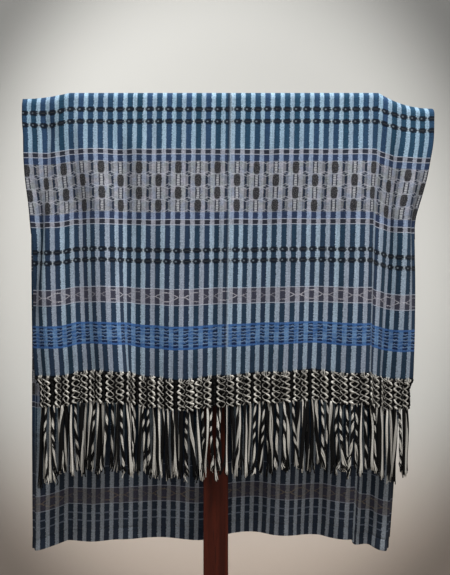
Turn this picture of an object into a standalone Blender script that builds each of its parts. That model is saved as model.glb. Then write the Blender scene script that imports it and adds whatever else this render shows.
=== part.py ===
"""A rebozo, a long fringed shawl, folded double and draped over a T-shaped wooden stand.

Metres, +Z up. The front faces -Y. The origin is on the floor, under the middle of the post.

The cloth is one length. From the visible fringe it runs up the front, over the bar and down the
back, turns at a fold, and comes back up and over the bar to a hidden end behind the front panel.
Where both layers hang together they share one wall, with a groove along its edges between them.
"""

import math

import bmesh
import bpy
import numpy as np
from mathutils import Vector

MM = 0.001
SEAM = 0.3 * MM

# The stand
BAR_TOP = 1.350
BAR_LENGTH = 0.530
BAR_DEPTH = 0.044
BAR_HEIGHT = 0.040
BAR_ROUND = 0.008
BAR_SHIFT = 0.014  # the bar's middle lies this far to the right of the post
POST_WIDTH = 0.043
POST_DEPTH = 0.032
POST_ROUND = 0.002
BASE_SIDE = 0.400
BASE_THICK = 0.030
BASE_ROUND = 0.004
ROUND_STEPS = 3

# The cloth
STRIPES = 42
CLOTH_WIDTH = 0.720
STRIPE = CLOTH_WIDTH / STRIPES
FRONT_DROP = 0.489  # from the ridge to the visible end
BACK_DROP = 0.776  # from the ridge to the fold
LAYER = 1.1 * MM
DOUBLE = 3.0 * MM  # both layers and the air between them
REST_GAP = 0.6 * MM  # the cloth's inner face clears the bar by this
MIDDLE_AT_RIDGE = 0.0225  # where the cloth's middle stripe crosses the bar
FRONT_LEAN = -0.0085  # how far the middle stripe drifts sideways down each side
BACK_LEAN = -0.0165
GROOVE = 2.5 * MM
FOLD_TURN = ((0.0, 1.2 * MM), (1.2 * MM, 3.6 * MM), (4.0 * MM, 4.6 * MM))  # height, thickness

# Past the bar's ends the ridge sinks and narrows, and the cloth slips a little to the back
LEFT_SINK = 0.008
RIGHT_SINK = 0.025
LEFT_SLIP = 0.004
RIGHT_SLIP = 0.0115
SINK_START = 0.002  # past the bar's end
SINK_POWER = 2.0
RIDGE_NARROWS = 0.5
ROUND_SHARE = 0.85  # of the narrowed half depth, at the edge of the cloth

# Folds: one row for each ridge or valley across the cloth, stripes counted from the left edge.
# at_top, at_end: stripe; upper, end: how far out it stands, in mm, a hand below the bar and at the end.
FRONT_FOLDS = (
    (0.0, 0.0, -12.0, -18.0),
    (2.2, 2.4, -2.0, -3.0),
    (4.6, 5.2, -7.0, 3.0),
    (7.4, 8.9, 12.0, 24.0),
    (10.0, 12.5, -8.0, -12.0),
    (15.0, 16.6, 3.0, 4.0),
    (19.8, 20.0, -2.0, -3.5),
    (21.0, 21.1, 3.0, 3.5),
    (23.4, 23.6, -3.0, -5.0),
    (27.2, 27.2, 4.0, 9.0),
    (30.6, 31.2, -3.0, -3.0),
    (33.8, 34.8, 8.0, 14.0),
    (37.6, 39.2, -13.0, -18.0),
    (39.8, 40.6, 1.0, -11.0),
    (42.0, 42.0, -19.0, -18.0),
)
BACK_FOLDS = (
    (0.0, 0.0, 9.0, 22.0),
    (1.8, 1.8, -8.0, -4.0),
    (6.0, 5.4, 5.0, 8.0),
    (11.0, 10.4, -6.0, -7.0),
    (16.0, 15.6, 7.0, 9.0),
    (21.0, 20.6, -1.0, -1.0),
    (25.0, 24.6, 10.0, 16.0),
    (28.4, 28.0, -6.0, -8.0),
    (32.0, 31.6, 10.0, 16.0),
    (35.4, 35.2, -6.0, -10.0),
    (38.2, 38.2, 7.0, 11.0),
    (40.4, 40.4, -6.0, -6.0),
    (42.0, 42.0, 5.0, 20.0),
)
FOLD_START_OUT = 0.004  # drops between which a fold comes in
FOLD_START_IN = 0.030  # a valley starts only under the bar
FOLD_FULL = 0.210

# How much lower than its neighbours a stripe hangs at the end: stripe, mm
FRONT_SAG = (
    (0.0, -1.0), (2.6, -3.5), (7.3, -9.0), (9.9, -6.5), (13.4, 3.5), (16.3, 8.0),
    (21.0, 0.0), (26.3, -6.0), (30.0, -10.0), (34.0, -4.0), (38.6, -6.5), (42.0, -6.5),
)
BACK_SAG = (
    (0.0, 16.5), (3.6, 9.0), (7.0, 12.0), (10.5, 5.0), (14.0, 4.5), (18.4, 9.0),
    (23.0, -3.5), (27.0, -2.0), (32.0, 2.0), (36.7, 5.5), (38.9, -10.0), (42.0, -9.0),
)
SAG_POWER = 3

# The knotted fringe
KNOT_BAND = 0.050
KNOT_ROWS = 4
KNOT_COLUMNS = 42
KNOT_LOW = 1.9 * MM
KNOT_SIDE = 3.0 * MM
KNOT_HIGH = 5.2 * MM
LOCK_LENGTH = 0.122
LOCK_SPREAD = 0.06  # the share by which lengths differ
LOCK_ROOT = 0.7 * MM  # each lock's root is this far inside its knot
LOCK_STEPS = 3
LOCK_TIP = 0.75
LOCK_LAYERS = 6.0 * MM  # every second lock hangs this far out in front
BACK_SHARE = 0.3  # and the others this share of it behind
LOCK_SWAY = 2.5 * MM  # how far a tip may drift aside in the last step
CORNER_LOCKS = 6
CORNER_LONGER = 0.026
CORNER_SWING = 0.012
HIDDEN_BAND_STEPS = 2
HIDDEN_BAND_FACES = (-1.6 * MM, -4.0 * MM)
HIDDEN_LOCK_SWAY = 1.5 * MM
HIDDEN_LOCK_LEAN = 0.8 * MM
SEED = 7

# The grids that walls are made on
FINE = 8  # samples a stripe for working out lengths
FRONT_STEPS = 13
BACK_STEPS = 17
HIDDEN_STEPS = 6  # of the front panel's, that the hidden end covers
ARC_STEPS = 3
JOIN = 0.045  # path from the ridge to where the front and back panels start

HALF_DEPTH = BAR_DEPTH / 2 + REST_GAP + DOUBLE / 2
RIDGE_ROUND = BAR_ROUND + REST_GAP + DOUBLE / 2
RIDGE = BAR_TOP + REST_GAP + DOUBLE / 2
FLAT_HALF = HALF_DEPTH - RIDGE_ROUND
ARC_END = FLAT_HALF + RIDGE_ROUND * math.pi / 2

COLOURS = {
    "striped_cloth": ((0.10, 0.22, 0.40, 1.0), 0.9),
    "fringe_yarn": ((0.05, 0.05, 0.06, 1.0), 0.9),
    "stained_wood": ((0.16, 0.05, 0.03, 1.0), 0.45),
}


def path_at(drop):
    """Path length from the ridge's middle to where the cloth has dropped this far."""
    return ARC_END + drop - RIDGE_ROUND


def smooth(low, high, value):
    """0 below low, 1 above high, and an even rise between."""
    share = np.clip((value - low) / (high - low), 0.0, 1.0)
    return share * share * (3 - 2 * share)


def curve_through(places, values, where):
    """The first value, plus a half-cosine step from each place's value to the next one's."""
    total = values[0] + 0 * where
    for near, far, low, high in zip(places[:-1], places[1:], values[:-1], values[1:]):
        share = np.clip((where - near) / (far - near), 0.0, 1.0)
        total = total + (high - low) * (1 - np.cos(math.pi * share)) / 2
    return total


def past_bar(stripes):
    """How far past the bar's two ends each stripe lies: 0 on the bar, 1 at the cloth's edge."""
    across = MIDDLE_AT_RIDGE + (stripes - STRIPES / 2) * STRIPE
    left_end = BAR_SHIFT - BAR_LENGTH / 2 - SINK_START
    right_end = BAR_SHIFT + BAR_LENGTH / 2 + SINK_START
    left = (left_end - across) / (left_end - across[0])
    right = (across - right_end) / (across[-1] - right_end)
    return np.clip(left, 0, 1), np.clip(right, 0, 1)


def hanging(table, sags, stripes, drop, full_drop):
    """How far the cloth stands out from its flat place, and how far it sags, at each stripe's drop."""
    down = np.clip(drop / full_drop, 0, 1)
    lower = np.clip((drop - FOLD_FULL) / (full_drop - FOLD_FULL), 0, 1)
    places = [at_top + (at_end - at_top) * down for at_top, at_end, _, _ in table]
    values = [(upper + (end - upper) * lower) * MM for _, _, upper, end in table]
    depth = curve_through(places, values, stripes)
    start = np.where(depth > 0, FOLD_START_OUT, FOLD_START_IN)
    sag_places, amounts = zip(*sags)
    sag = curve_through(sag_places, [amount * MM for amount in amounts], stripes)
    return depth * smooth(start, FOLD_FULL, drop), sag * down ** SAG_POWER


def cloth_row(path):
    """Points across the cloth's middle layer, FINE to a stripe, at one path length.

    Negative paths are in front of the ridge and positive ones behind it. Each stripe keeps
    its width: what a fold takes in depth, the row loses across.
    """
    stripes = np.linspace(0, STRIPES, STRIPES * FINE + 1)
    left, right = past_bar(stripes)
    out_share = np.maximum(left, right)
    left_rise, right_rise = (1 - (1 - share) ** SINK_POWER for share in (left, right))
    half_depth = HALF_DEPTH * (1 - RIDGE_NARROWS * smooth(0, 1, out_share))
    round_end = RIDGE_ROUND + (half_depth * ROUND_SHARE - RIDGE_ROUND) * out_share
    radius = np.minimum(round_end, half_depth)
    flat = half_depth - radius
    slipped = path + LEFT_SLIP * left_rise + RIGHT_SLIP * right_rise
    side = np.where(slipped < 0, -1.0, 1.0)
    along = np.abs(slipped)
    on_ridge = np.minimum(along / ARC_END, 1) * (flat + radius * math.pi / 2)
    angle = np.clip((on_ridge - flat) / radius, 0, math.pi / 2)
    below = np.maximum(along - ARC_END, 0.0)
    drop = radius * (1 - np.cos(angle)) + below
    out = np.minimum(on_ridge, flat) + radius * np.sin(angle)
    out = out + (HALF_DEPTH - half_depth) * smooth(0, FOLD_FULL, below)

    hang = np.where(below > 0, below + RIDGE_ROUND, 0.0)
    front = hanging(FRONT_FOLDS, FRONT_SAG, stripes, hang, FRONT_DROP)
    back = hanging(BACK_FOLDS, BACK_SAG, stripes, hang, BACK_DROP)
    depth, sag = (np.where(side < 0, *both) for both in zip(front, back))
    y = side * (out + depth)
    z = RIDGE - drop - sag - LEFT_SINK * left_rise - RIGHT_SINK * right_rise

    step = STRIPE / FINE
    slope_y, slope_z = np.gradient(y, step), np.gradient(z, step)
    across = np.sqrt(np.clip(1 - slope_y**2 - slope_z**2, 0.05, 1))
    x = np.concatenate([[0], np.cumsum((across[1:] + across[:-1]) / 2 * step)])
    middle = len(x) // 2
    lean, full_drop = (FRONT_LEAN, FRONT_DROP) if path < 0 else (BACK_LEAN, BACK_DROP)
    x += MIDDLE_AT_RIDGE + lean * min(hang[middle] / full_drop, 1) - x[middle]
    return np.stack([x, y, z], -1)


def drape(paths, columns):
    """Points and outward normals of the cloth's middle layer: a row a path, columns even across."""
    pick = np.linspace(0, STRIPES * FINE, columns + 1).round().astype(int)
    points, normals = [], []
    for path in paths:
        ahead, behind, row = (cloth_row(path + shift) for shift in (0.5 * MM, -0.5 * MM, 0.0))
        normal = np.cross(np.gradient(row, axis=0), ahead - behind)
        normal /= np.linalg.norm(normal, axis=1)[:, None]
        points.append(row[pick])
        normals.append(normal[pick])
    return np.array(points), np.array(normals)


def halve_columns(grid):
    """The same grid with a column added midway between every two."""
    finer = np.repeat(grid, 2, axis=1)[:, :-1]
    finer[:, 1::2] = (grid[:, 1:] + grid[:, :-1]) / 2
    return finer


def quads(*corners):
    return np.stack(corners, -1).reshape(-1, 4).tolist()


def wall(outer, inner, groove=None):
    """A closed wall between two grids of points, as (points, faces). The last faces are the bottom ones.

    groove is a point a row for the left and the right edge, between the two faces and inside them.
    """
    rows, columns = outer.shape[:2]
    out = np.arange(rows * columns).reshape(rows, columns)
    back = out + rows * columns
    points = [outer.reshape(-1, 3), inner.reshape(-1, 3)]
    faces = quads(out[:-1, :-1], out[:-1, 1:], out[1:, 1:], out[1:, :-1])
    faces += quads(back[:-1, :-1], back[1:, :-1], back[1:, 1:], back[:-1, 1:])
    top = quads(out[-1, :-1], out[-1, 1:], back[-1, 1:], back[-1, :-1])
    bottom = quads(back[0, :-1], back[0, 1:], out[0, 1:], out[0, :-1])
    if groove is None:
        faces += quads(out[:-1, 0], out[1:, 0], back[1:, 0], back[:-1, 0])
        faces += quads(back[:-1, -1], back[1:, -1], out[1:, -1], out[:-1, -1])
    else:
        points += list(groove)
        left = np.arange(rows) + 2 * rows * columns
        right = left + rows
        faces += quads(out[:-1, 0], out[1:, 0], left[1:], left[:-1])
        faces += quads(left[:-1], left[1:], back[1:, 0], back[:-1, 0])
        faces += quads(right[:-1], right[1:], out[1:, -1], out[:-1, -1])
        faces += quads(back[:-1, -1], back[1:, -1], right[1:], right[:-1])
        bottom[0].append(int(left[0]))
        bottom[-1].insert(2, int(right[0]))
        top[0].append(int(left[-1]))
        top[-1].insert(2, int(right[-1]))
    return np.concatenate(points), faces + top + bottom


def material(name):
    colour, roughness = COLOURS[name]
    made = bpy.data.materials.get(name) or bpy.data.materials.new(name)
    made.use_nodes = True
    shader = made.node_tree.nodes["Principled BSDF"]
    shader.inputs["Base Color"].default_value = colour
    shader.inputs["Roughness"].default_value = roughness
    shader.inputs["Metallic"].default_value = 0.0
    return made


def add_object(name, mesh, finish, collection):
    mesh.materials.append(material(finish))
    made = bpy.data.objects.new(name, mesh)
    collection.objects.link(made)
    return made


def add_wall(name, shape, collection):
    points, faces = shape
    mesh = bpy.data.meshes.new(name)
    mesh.from_pydata(points.tolist(), [], faces)
    mesh.shade_smooth()
    return add_object(name, mesh, "striped_cloth", collection)


def single_layer(paths, low, high):
    """A wall one layer thick, between two distances out from the doubled cloth's middle."""
    points, normals = drape(paths, STRIPES)
    return wall(points + normals * high, points + normals * low)


def doubled_layers(paths, thickness):
    """A wall of both layers, with the groove between them along each edge."""
    points, normals = drape(paths, STRIPES)
    half = np.asarray(thickness)[:, None, None] / 2
    inwards = (points[:, 1] - points[:, 0], points[:, -2] - points[:, -1])
    edges = (points[:, 0], points[:, -1])
    groove = [
        edge + way / np.linalg.norm(way, axis=1)[:, None] * GROOVE
        for edge, way in zip(edges, inwards)
    ]
    return wall(points + normals * half, points - normals * half, groove)


def front_rows():
    return np.linspace(-path_at(FRONT_DROP), -JOIN - SEAM, FRONT_STEPS + 1)


def front_panel(collection):
    """The outer layer, from its fringed end up to the bar."""
    shape = single_layer(front_rows(), DOUBLE / 2 - LAYER, DOUBLE / 2)
    add_wall("front_panel", shape, collection)


def hidden_end(collection):
    """The inner layer's end, behind the front panel."""
    shape = single_layer(front_rows()[-HIDDEN_STEPS - 1:], -DOUBLE / 2, LAYER - DOUBLE / 2)
    add_wall("hidden_end", shape, collection)


def over_bar(collection):
    """Both layers, where they lie over the bar."""
    arc = np.linspace(FLAT_HALF, ARC_END, ARC_STEPS + 1)
    paths = np.concatenate([[-JOIN], -arc[::-1], arc, [JOIN]])
    add_wall("over_bar", doubled_layers(paths, np.full(len(paths), DOUBLE)), collection)


def back_panel(collection):
    """Both layers behind the stand, down to the fold that joins them."""
    end = path_at(BACK_DROP)
    turn_heights, turn_thickness = np.array(FOLD_TURN).T
    even = np.linspace(JOIN + SEAM, end - 5 * turn_heights[-1], BACK_STEPS + 1)
    paths = np.concatenate([even, (end - turn_heights)[::-1]])
    thickness = np.concatenate([np.full(len(even), DOUBLE), turn_thickness[::-1]])
    add_wall("back_panel", doubled_layers(paths, thickness), collection)


def knot_heights(rows, columns):
    """How thick the knotted band is at each point of its grid, two knots to a pair of stripes.

    Every second row and column is a knot's middle, with neighbouring columns of knots half a
    knot apart in height, and every fourth column is the slit between two groups.
    """
    row, column = np.meshgrid(np.arange(rows), np.arange(columns), indexing="ij")
    middle = (column % 2 == 1) & ((row + column // 2) % 2 == 1)
    slit = column % 4 == 0
    high = np.where(middle, KNOT_HIGH, np.where(slit, KNOT_LOW, KNOT_SIDE))
    return high


def hang_locks(mesh, moves, sway, random):
    """Grows a lock of yarn from each of the mesh's last faces, the band's bottom ones.

    moves has a row a lock, from its root to its tip.
    """
    count = len(moves)
    shape = bmesh.new()
    shape.from_mesh(mesh)
    shape.faces.ensure_lookup_table()
    ends = shape.faces[-count:]
    bmesh.ops.inset_individual(shape, faces=ends, thickness=LOCK_ROOT, use_even_offset=True)
    sideways = random.uniform(-sway, sway, (count, LOCK_STEPS)) * np.linspace(0, 1, LOCK_STEPS)
    narrow = LOCK_TIP ** (1 / LOCK_STEPS)
    for step in range(LOCK_STEPS):
        ends = bmesh.ops.extrude_discrete_faces(shape, faces=ends)["faces"]
        for end, move, aside in zip(ends, moves / LOCK_STEPS, sideways[:, step]):
            middle = end.calc_center_median()
            for corner in end.verts:
                corner.co = middle + (corner.co - middle) * narrow + Vector(move)
                corner.co.x += aside
    shape.to_mesh(mesh)
    shape.free()


def front_fringe(collection):
    """The band of knots on the visible end, and the locks that hang from it."""
    top = -path_at(FRONT_DROP) - SEAM
    paths = np.linspace(top - KNOT_BAND, top, 2 * KNOT_ROWS + 1)
    points, normals = (halve_columns(grid) for grid in drape(paths, KNOT_COLUMNS))
    thick = knot_heights(*points.shape[:2])[:, :, None]
    made = add_wall("front_fringe", wall(points + normals * thick, points), collection)

    random = np.random.default_rng(SEED)
    count = 2 * KNOT_COLUMNS
    number = np.arange(count)
    corner = np.clip(1 - number / CORNER_LOCKS, 0, 1)
    moves = np.zeros((count, 3))
    moves[:, 0] = (corner[::-1] - corner) * CORNER_SWING
    moves[:, 1] = np.where(number % 2 == 0, -LOCK_LAYERS, LOCK_LAYERS * BACK_SHARE)
    moves[:, 2] = -LOCK_LENGTH * (1 + random.uniform(-LOCK_SPREAD, LOCK_SPREAD, count))
    moves[:, 2] -= corner * CORNER_LONGER
    hang_locks(made.data, moves, LOCK_SWAY, random)
    made.data.materials[0] = material("fringe_yarn")


def hidden_fringe(collection):
    """The fringe of the hidden end, plain, between the front panel and the stand."""
    top = front_rows()[-HIDDEN_STEPS - 1] - SEAM
    paths = np.linspace(top - KNOT_BAND, top, HIDDEN_BAND_STEPS + 1)
    points, normals = drape(paths, KNOT_COLUMNS)
    high, low = HIDDEN_BAND_FACES
    made = add_wall("hidden_fringe", wall(points + normals * high, points + normals * low), collection)

    tips = drape([paths[0] - LOCK_LENGTH], KNOT_COLUMNS)[0][0]
    moves = tips - points[0]
    moves = (moves[1:] + moves[:-1]) / 2
    moves[:, 1] += HIDDEN_LOCK_LEAN
    hang_locks(made.data, moves, HIDDEN_LOCK_SWAY, np.random.default_rng(SEED + 1))
    made.data.materials[0] = material("fringe_yarn")


def block(name, size, middle, rounding, collection):
    """A wooden block with rounded edges."""
    bpy.ops.mesh.primitive_cube_add(size=1, location=middle)
    made = bpy.context.object
    made.name = name
    made.data.name = name
    made.scale = size
    bpy.ops.object.transform_apply(location=False, rotation=False, scale=True)
    bevel = made.modifiers.new("rounded_edges", "BEVEL")
    bevel.width = rounding
    bevel.segments = ROUND_STEPS
    made.data.materials.append(material("stained_wood"))
    for old in list(made.users_collection):
        old.objects.unlink(made)
    collection.objects.link(made)


def stand(collection):
    """A square base on the floor, a post, and the bar that the cloth lies over."""
    bar_bottom = BAR_TOP - BAR_HEIGHT
    post_low = BASE_THICK + SEAM
    post_high = bar_bottom - SEAM
    block("stand_base", (BASE_SIDE, BASE_SIDE, BASE_THICK), (0, 0, BASE_THICK / 2), BASE_ROUND, collection)
    block("stand_post", (POST_WIDTH, POST_DEPTH, post_high - post_low),
          (0, 0, (post_low + post_high) / 2), POST_ROUND, collection)
    block("stand_bar", (BAR_LENGTH, BAR_DEPTH, BAR_HEIGHT),
          (BAR_SHIFT, 0, BAR_TOP - BAR_HEIGHT / 2), BAR_ROUND, collection)


def main():
    for old in list(bpy.data.objects):
        bpy.data.objects.remove(old)
    rebozo = bpy.data.collections.new("rebozo_on_stand")
    bpy.context.scene.collection.children.link(rebozo)
    stand(rebozo)
    over_bar(rebozo)
    front_panel(rebozo)
    back_panel(rebozo)
    hidden_end(rebozo)
    front_fringe(rebozo)
    hidden_fringe(rebozo)


main()
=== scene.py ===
"""A striped rebozo with a knotted fringe, folded double over the bar of a wooden stand.

Places on the cloth are given as (stripe, path): stripes are counted from the left edge, and a path
is a length along the cloth from the middle of the bar's top, negative in front and positive behind.
"""

import math
from collections import namedtuple

import bpy
import numpy as np
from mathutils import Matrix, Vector


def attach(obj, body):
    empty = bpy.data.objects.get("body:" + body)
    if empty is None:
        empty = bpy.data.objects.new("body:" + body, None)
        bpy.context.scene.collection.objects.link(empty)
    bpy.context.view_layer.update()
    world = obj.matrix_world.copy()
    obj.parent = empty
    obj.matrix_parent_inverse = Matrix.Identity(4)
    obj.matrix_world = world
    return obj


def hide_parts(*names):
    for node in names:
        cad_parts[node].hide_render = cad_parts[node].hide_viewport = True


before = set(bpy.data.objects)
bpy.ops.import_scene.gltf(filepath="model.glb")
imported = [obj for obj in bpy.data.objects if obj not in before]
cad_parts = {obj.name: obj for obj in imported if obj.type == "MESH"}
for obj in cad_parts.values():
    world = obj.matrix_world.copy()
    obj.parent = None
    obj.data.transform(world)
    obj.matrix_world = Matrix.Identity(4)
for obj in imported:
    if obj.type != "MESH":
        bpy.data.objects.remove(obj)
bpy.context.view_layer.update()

MM = 0.001

# The stand and how the cloth lies on it, as in the solids
BAR_TOP = 1.350
BAR_LENGTH = 0.530
BAR_DEPTH = 0.044
BAR_ROUND = 0.008
BAR_SHIFT = 0.014
STRIPES = 42
CLOTH_WIDTH = 0.720
STRIPE = CLOTH_WIDTH / STRIPES
FRONT_DROP = 0.489
BACK_DROP = 0.776
HIDDEN_DROP = 0.239
DOUBLE = 3.0 * MM
REST_GAP = 0.6 * MM
MIDDLE_AT_RIDGE = 0.0225
FRONT_LEAN = -0.0085
BACK_LEAN = -0.0165
LEFT_SINK = 0.008
RIGHT_SINK = 0.025
LEFT_SLIP = 0.004
RIGHT_SLIP = 0.0115
SINK_START = 0.002
SINK_POWER = 2.0
RIDGE_NARROWS = 0.5
ROUND_SHARE = 0.85

# One row for each ridge or valley: stripe at the top and at the end, mm outwards above and at the end
FRONT_FOLDS = (
    (0.0, 0.0, -12.0, -18.0),
    (2.2, 2.4, -2.0, -3.0),
    (4.6, 5.2, -7.0, 3.0),
    (7.4, 8.9, 12.0, 24.0),
    (10.0, 12.5, -8.0, -12.0),
    (15.0, 16.6, 3.0, 4.0),
    (19.8, 20.0, -2.0, -3.5),
    (21.0, 21.1, 3.0, 3.5),
    (23.4, 23.6, -3.0, -5.0),
    (27.2, 27.2, 4.0, 9.0),
    (30.6, 31.2, -3.0, -3.0),
    (33.8, 34.8, 8.0, 14.0),
    (37.6, 39.2, -13.0, -18.0),
    (39.8, 40.6, 1.0, -11.0),
    (42.0, 42.0, -19.0, -18.0),
)
BACK_FOLDS = (
    (0.0, 0.0, 9.0, 22.0),
    (1.8, 1.8, -8.0, -4.0),
    (6.0, 5.4, 5.0, 8.0),
    (11.0, 10.4, -6.0, -7.0),
    (16.0, 15.6, 7.0, 9.0),
    (21.0, 20.6, -1.0, -1.0),
    (25.0, 24.6, 10.0, 16.0),
    (28.4, 28.0, -6.0, -8.0),
    (32.0, 31.6, 10.0, 16.0),
    (35.4, 35.2, -6.0, -10.0),
    (38.2, 38.2, 7.0, 11.0),
    (40.4, 40.4, -6.0, -6.0),
    (42.0, 42.0, 5.0, 20.0),
)
FOLD_START_OUT = 0.004
FOLD_START_IN = 0.030
FOLD_FULL = 0.210

# How much lower than its neighbours a stripe hangs at the end: stripe, mm
FRONT_SAG = (
    (0.0, -1.0), (2.6, -3.5), (7.3, -9.0), (9.9, -6.5), (13.4, 3.5), (16.3, 8.0),
    (21.0, 0.0), (26.3, -6.0), (30.0, -10.0), (34.0, -4.0), (38.6, -6.5), (42.0, -6.5),
)
BACK_SAG = (
    (0.0, 16.5), (3.6, 9.0), (7.0, 12.0), (10.5, 5.0), (14.0, 4.5), (18.4, 9.0),
    (23.0, -3.5), (27.0, -2.0), (32.0, 2.0), (36.7, 5.5), (38.9, -10.0), (42.0, -9.0),
)
SAG_POWER = 3

# Creases: stripe at the top and at the end, drops where it starts and stops in mm,
# half its width in stripes, mm outwards. One that comes within HEM_REACH of the end runs out there.
CREASE_STARTS = 60
CREASE_STOPS = 40
HEM_REACH = 3 * MM
FRONT_CREASES = (
    (1.1, 1.3, 30, 330, 0.5, -1.6),
    (3.3, -1.4, 10, 487, 0.8, -8.0),
    (6.0, 6.6, 8, 150, 0.5, 1.6),
    (6.2, 7.6, 60, 487, 0.8, 0.5),
    (10.6, 11.2, 60, 487, 0.5, -1.4),
    (11.9, 12.7, 40, 487, 1.2, 3.4),
    (18.0, 17.8, 70, 487, 0.8, 1.6),
    (20.5, 20.3, 150, 487, 1.9, 5.0),
    (21.1, 21.2, 20, 487, 0.30, -2.2),
    (24.9, 24.6, 60, 487, 0.8, -2.4),
    (29.2, 29.0, 10, 330, 0.7, 0.9),
    (31.6, 32.0, 80, 487, 1.3, 4.0),
    (36.4, 36.9, 30, 487, 0.55, -4.0),
    (38.0, 38.6, 40, 487, 0.50, -5.5),
    (40.9, 41.3, 70, 487, 0.35, 1.2),
)
BACK_CREASES = (
    (3.2, 3.0, 60, 700, 0.6, 1.4),
    (8.6, 8.2, 20, 560, 0.9, -1.6),
    (13.2, 12.8, 120, 776, 0.7, 1.3),
    (18.4, 18.9, 60, 640, 1.1, -1.3),
    (21.0, 21.0, 30, 776, 0.22, 1.0),
    (23.2, 22.9, 200, 776, 0.6, -1.4),
    (29.8, 29.2, 40, 600, 0.7, 1.5),
    (33.9, 33.4, 90, 776, 0.6, -1.7),
    (37.0, 36.8, 20, 420, 0.6, -1.2),
)

# The knotted fringe
KNOT_BAND = 0.050
KNOT_ROWS = 5
KNOT_GROUPS = 21
LOCK_LENGTH = 0.122
CORNER_LONGER = 0.026

HALF_DEPTH = BAR_DEPTH / 2 + REST_GAP + DOUBLE / 2
RIDGE_ROUND = BAR_ROUND + REST_GAP + DOUBLE / 2
RIDGE = BAR_TOP + REST_GAP + DOUBLE / 2
FLAT_HALF = HALF_DEPTH - RIDGE_ROUND
ARC_END = FLAT_HALF + RIDGE_ROUND * math.pi / 2
JOIN = 0.045

# The cloth's layers and its whole length
CLOTH_THICK = 0.9 * MM
LAYER_OUT = 1.4 * MM
FOLD_OUT = 2.2 * MM
TURNED_UP = 0.018
PAST_FOLD = 0.020
FRONT_PATH = ARC_END + FRONT_DROP - RIDGE_ROUND
BACK_PATH = ARC_END + BACK_DROP - RIDGE_ROUND
HIDDEN_PATH = ARC_END + HIDDEN_DROP - RIDGE_ROUND
CLOTH_LENGTH = FRONT_PATH + 2 * BACK_PATH + HIDDEN_PATH
WEAVE_MAP = "weave"


# The shape of the drape

def smooth(low, high, value):
    """0 below low, 1 above high, and 3x^2 - 2x^3 between."""
    share = np.clip((value - low) / (high - low), 0.0, 1.0)
    return share * share * (3 - 2 * share)


def curve_through(places, values, where):
    """The first value, plus a half-cosine step from each place's value to the next one's."""
    total = values[0] + 0 * where
    for near, far, low, high in zip(places[:-1], places[1:], values[:-1], values[1:]):
        share = np.clip((where - near) / (far - near), 0, 1)
        total = total + (high - low) * (1 - np.cos(math.pi * share)) / 2
    return total


def hanging(table, sags, creases, stripes, drop, full_drop):
    """Depth and sag of one side: half-cosine folds that come in below the bar, and Gaussian creases."""
    down = np.clip(drop / full_drop, 0, 1)
    lower = np.clip((drop - FOLD_FULL) / (full_drop - FOLD_FULL), 0, 1)
    places = [top + (end - top) * down for top, end, _, _ in table]
    values = [(upper + (end - upper) * lower) * MM for _, _, upper, end in table]
    depth = curve_through(places, values, stripes)
    start = np.where(depth > 0, FOLD_START_OUT, FOLD_START_IN)
    depth = depth * smooth(start, FOLD_FULL, drop)
    for top, end, first, last, half, out in creases:
        middle = top + (end - top) * down
        there = smooth(first * MM, (first + CREASE_STARTS) * MM, drop)
        if last * MM < full_drop - HEM_REACH:
            there = there * (1 - smooth((last - CREASE_STARTS) * MM, (last + CREASE_STOPS) * MM, drop))
        depth = depth + out * MM * there * np.exp(-((stripes - middle) / half) ** 2)
    sag_places, sag_amounts = zip(*sags)
    sag = curve_through(sag_places, [amount * MM for amount in sag_amounts], stripes)
    return depth, sag * down ** SAG_POWER


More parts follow.
